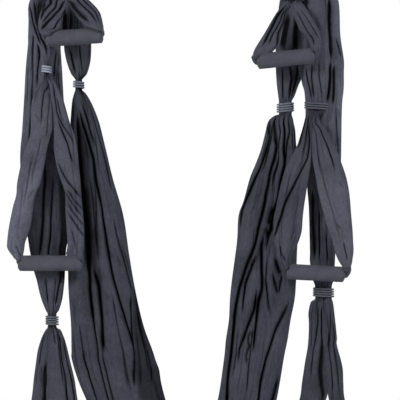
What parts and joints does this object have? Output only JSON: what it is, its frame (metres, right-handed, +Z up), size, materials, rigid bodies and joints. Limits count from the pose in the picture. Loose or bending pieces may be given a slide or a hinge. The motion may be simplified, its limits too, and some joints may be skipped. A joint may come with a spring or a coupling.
{
  "type": "aerial yoga hammock",
  "caption": "Gathered nylon sling hung from paired locking carabiners, with upper, middle and low cloth handle loops in foam grips on each side.",
  "frame": {"origin": "where the left carabiner hangs on its anchor, at the inside of its crown", "axes": "+X from the left hanging point to the right one, +Y to the back, +Z up"},
  "size_m": [0.704, 0.1214, 1.3125],
  "materials": {
    "cloth": "crinkled nylon, soft sheen",
    "foam": "matte closed-cell foam",
    "cord": "satin elastic cord",
    "tube": "satin",
    "steel": "zinc plated, brushed",
    "sleeve": "black anodised, fluted"
  },
  "bodies": {
    "anchors": {"carabiner_frame_left": "steel", "carabiner_frame_right": "steel", "gate_pin_left": "steel", "gate_pin_right": "steel"},
    "gate_left": {"gate_left": "steel"},
    "gate_right": {"gate_right": "steel"},
    "sleeve_left": {"locking_sleeve_left": "sleeve"},
    "sleeve_right": {"locking_sleeve_right": "sleeve"},
    "hammock": {"seat_sling": "cloth", "low_strap_left": "cloth", "low_strap_right": "cloth", "middle_strap_left": "cloth", "middle_strap_right": "cloth", "upper_strap_left": "cloth", "upper_strap_right": "cloth", "low_band_left": "cord", "low_band_right": "cord", "middle_band_left": "cord", "middle_band_right": "cord", "upper_band_left": "cord", "upper_band_right": "cord", "sling_band_left": "cord", "sling_band_right": "cord"},
    "low_loop_left": {"low_loop_left": "cloth"},
    "low_loop_right": {"low_loop_right": "cloth"},
    "middle_loop_left": {"middle_loop_left": "cloth"},
    "middle_loop_right": {"middle_loop_right": "cloth"},
    "upper_loop_left": {"upper_loop_left": "cloth"},
    "upper_loop_right": {"upper_loop_right": "cloth"},
    "grip_low_left": {"foam_grip_low_left": "foam", "grip_tube_low_left": "tube"},
    "grip_low_right": {"foam_grip_low_right": "foam", "grip_tube_low_right": "tube"},
    "grip_middle_left": {"foam_grip_middle_left": "foam", "grip_tube_middle_left": "tube"},
    "grip_middle_right": {"foam_grip_middle_right": "foam", "grip_tube_middle_right": "tube"},
    "grip_upper_left": {"foam_grip_upper_left": "foam", "grip_tube_upper_left": "tube"},
    "grip_upper_right": {"foam_grip_upper_right": "foam", "grip_tube_upper_right": "tube"}
  },
  "joints": [
    {"name": "gate_open_left", "type": "hinge", "parent": "anchors", "child": "gate_left", "pos_m": [-0.033, 0, -0.0785], "axis": [0, 1, 0], "range_deg": [0, 30], "stiffness_Nm_per_rad": 0.08, "springref_deg": -20.05},
    {"name": "gate_open_right", "type": "hinge", "parent": "anchors", "child": "gate_right", "pos_m": [0.517, 0, -0.0785], "axis": [0, -1, 0], "range_deg": [0, 30], "stiffness_Nm_per_rad": 0.08, "springref_deg": -20.05},
    {"name": "sleeve_lock_left", "type": "slide", "parent": "gate_left", "child": "sleeve_left", "axis": [0, 0, 1], "range_m": [0, 0.012]},
    {"name": "sleeve_lock_right", "type": "slide", "parent": "gate_right", "child": "sleeve_right", "axis": [0, 0, 1], "range_m": [0, 0.012]},
    {"name": "hammock_swing", "type": "hinge", "parent": "anchors", "child": "hammock", "pos_m": [0, 0, -0.101], "axis": [-1, 0, 0], "range_deg": [-60, 60]},
    {"name": "upper_swing_left", "type": "hinge", "parent": "hammock", "child": "upper_loop_left", "pos_m": [0.022, -0.03, -0.22135], "axis": [-1, 0, 0], "range_deg": [0, 75]},
    {"name": "upper_swing_right", "type": "hinge", "parent": "hammock", "child": "upper_loop_right", "pos_m": [0.458, -0.03, -0.23635], "axis": [-1, 0, 0], "range_deg": [0, 75]},
    {"name": "middle_swing_left", "type": "hinge", "parent": "hammock", "child": "middle_loop_left", "pos_m": [-0.0295, -0.018, -0.37685], "axis": [-1, 0, 0], "range_deg": [0, 75]},
    {"name": "middle_swing_right", "type": "hinge", "parent": "hammock", "child": "middle_loop_right", "pos_m": [0.507, -0.018, -0.45035], "axis": [-1, 0, 0], "range_deg": [0, 75]},
    {"name": "low_swing_left", "type": "hinge", "parent": "hammock", "child": "low_loop_left", "pos_m": [-0.02, 0.002, -0.8827], "axis": [-1, 0, 0], "range_deg": [-60, 75]},
    {"name": "low_swing_right", "type": "hinge", "parent": "hammock", "child": "low_loop_right", "pos_m": [0.523, 0.002, -0.8267], "axis": [-1, 0, 0], "range_deg": [-60, 75]},
    {"name": "grip_spin_low_left", "type": "hinge", "parent": "low_loop_left", "child": "grip_low_left", "pos_m": [-0.016, 0.002, -1.24], "axis": [1, 0, 0], "continuous": true},
    {"name": "grip_spin_low_right", "type": "hinge", "parent": "low_loop_right", "child": "grip_low_right", "pos_m": [0.52, 0.002, -1.17], "axis": [1, 0, 0], "continuous": true},
    {"name": "grip_spin_middle_left", "type": "hinge", "parent": "middle_loop_left", "child": "grip_middle_left", "pos_m": [-0.021, -0.03, -0.7455], "axis": [1, 0, 0], "continuous": true},
    {"name": "grip_spin_middle_right", "type": "hinge", "parent": "middle_loop_right", "child": "grip_middle_right", "pos_m": [0.506, -0.03, -0.765], "axis": [0.9986, 0, -0.0535], "continuous": true},
    {"name": "grip_spin_upper_left", "type": "hinge", "parent": "upper_loop_left", "child": "grip_upper_left", "pos_m": [0.028, -0.042, -0.29775], "axis": [0.9977, 0, 0.068], "continuous": true},
    {"name": "grip_spin_upper_right", "type": "hinge", "parent": "upper_loop_right", "child": "grip_upper_right", "pos_m": [0.445, -0.042, -0.34], "axis": [0.9941, 0, 0.1084], "continuous": true}
  ]
}
